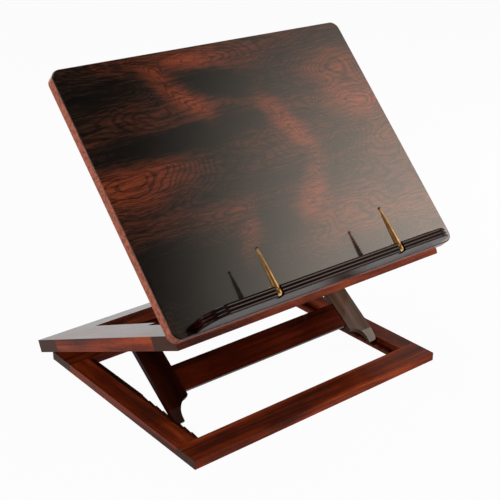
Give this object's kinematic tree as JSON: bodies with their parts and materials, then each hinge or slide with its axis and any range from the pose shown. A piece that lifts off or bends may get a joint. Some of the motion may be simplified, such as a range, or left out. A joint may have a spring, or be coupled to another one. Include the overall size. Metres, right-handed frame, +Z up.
{
  "type": "atlas stand",
  "caption": "Folding wooden atlas stand: notched base frame, hinged tilting frame with props, and a sloping book board with a reeded ledge and brass page holders.",
  "frame": {"origin": "middle of the underside of the base's front rail, on the table", "axes": "+X to the reader's right, +Y away from the reader, +Z up"},
  "size_m": [0.457, 0.39, 0.4341],
  "materials": {
    "rail_wood": "french polished mahogany",
    "board_wood": "french polished mahogany, dark",
    "prop_wood": "polished mahogany",
    "brass": "polished, slightly tarnished"
  },
  "bodies": {
    "base": {"base_front_rail": "rail_wood", "base_back_rail": "rail_wood", "base_left_rail": "rail_wood", "base_right_rail": "rail_wood", "base_hinge_left_lower_leaf": "brass", "base_hinge_left_pin": "brass", "base_hinge_right_lower_leaf": "brass", "base_hinge_right_pin": "brass"},
    "tilting_frame": {"frame_front_rail": "rail_wood", "frame_back_rail": "rail_wood", "frame_left_rail": "rail_wood", "frame_right_rail": "rail_wood", "base_hinge_left_upper_leaf": "brass", "base_hinge_right_upper_leaf": "brass", "board_hinge_left_lower_leaf": "brass", "board_hinge_left_pin": "brass", "board_hinge_right_lower_leaf": "brass", "board_hinge_right_pin": "brass", "front_prop_left_pin": "brass", "front_prop_right_pin": "brass"},
    "front_prop": {"front_prop_left_leg": "prop_wood", "front_prop_right_leg": "prop_wood", "front_prop_stretcher": "prop_wood"},
    "book_board": {"board": "board_wood", "ledge": "board_wood", "board_hinge_left_upper_leaf": "brass", "board_hinge_right_upper_leaf": "brass", "rear_prop_left_pin": "brass", "rear_prop_right_pin": "brass", "page_holder_left_pivot": "brass", "page_holder_right_pivot": "brass", "page_holder_left_stud": "brass", "page_holder_right_stud": "brass"},
    "rear_prop": {"rear_prop_left_leg": "prop_wood", "rear_prop_right_leg": "prop_wood", "rear_prop_stretcher": "prop_wood"},
    "holder_left": {"page_holder_left": "brass"},
    "holder_right": {"page_holder_right": "brass"}
  },
  "joints": [
    {"name": "frame_tilt", "type": "hinge", "parent": "base", "child": "tilting_frame", "pos_m": [0, 0.3218, 0.0124], "axis": [-1, 0, 0], "range_deg": [-23.8, 16.2]},
    {"name": "front_prop_swing", "type": "hinge", "parent": "tilting_frame", "child": "front_prop", "pos_m": [0, 0.16698, 0.08462], "axis": [1, 0, 0], "range_deg": [-59.8, 40.8]},
    {"name": "board_tilt", "type": "hinge", "parent": "tilting_frame", "child": "book_board", "pos_m": [0, 0.00026, 0.17498], "axis": [1, 0, 0], "range_deg": [-70.1, 3.9]},
    {"name": "rear_prop_swing", "type": "hinge", "parent": "book_board", "child": "rear_prop", "pos_m": [0, 0.07711, 0.26061], "axis": [-1, 0, 0], "range_deg": [-140.2, 7.8]},
    {"name": "holder_left_turn", "type": "hinge", "parent": "book_board", "child": "holder_left", "pos_m": [-0.1, -0.04069, 0.20941], "axis": [1, 0, 0], "range_deg": [-10, 95]},
    {"name": "holder_right_turn", "type": "hinge", "parent": "book_board", "child": "holder_right", "pos_m": [0.1, -0.04069, 0.20941], "axis": [1, 0, 0], "range_deg": [-10, 95]}
  ],
  "couplings": [
    {"joint": "front_prop_swing", "follows": "frame_tilt", "ratio": 2.5105},
    {"joint": "rear_prop_swing", "follows": "board_tilt", "ratio": 2}
  ]
}
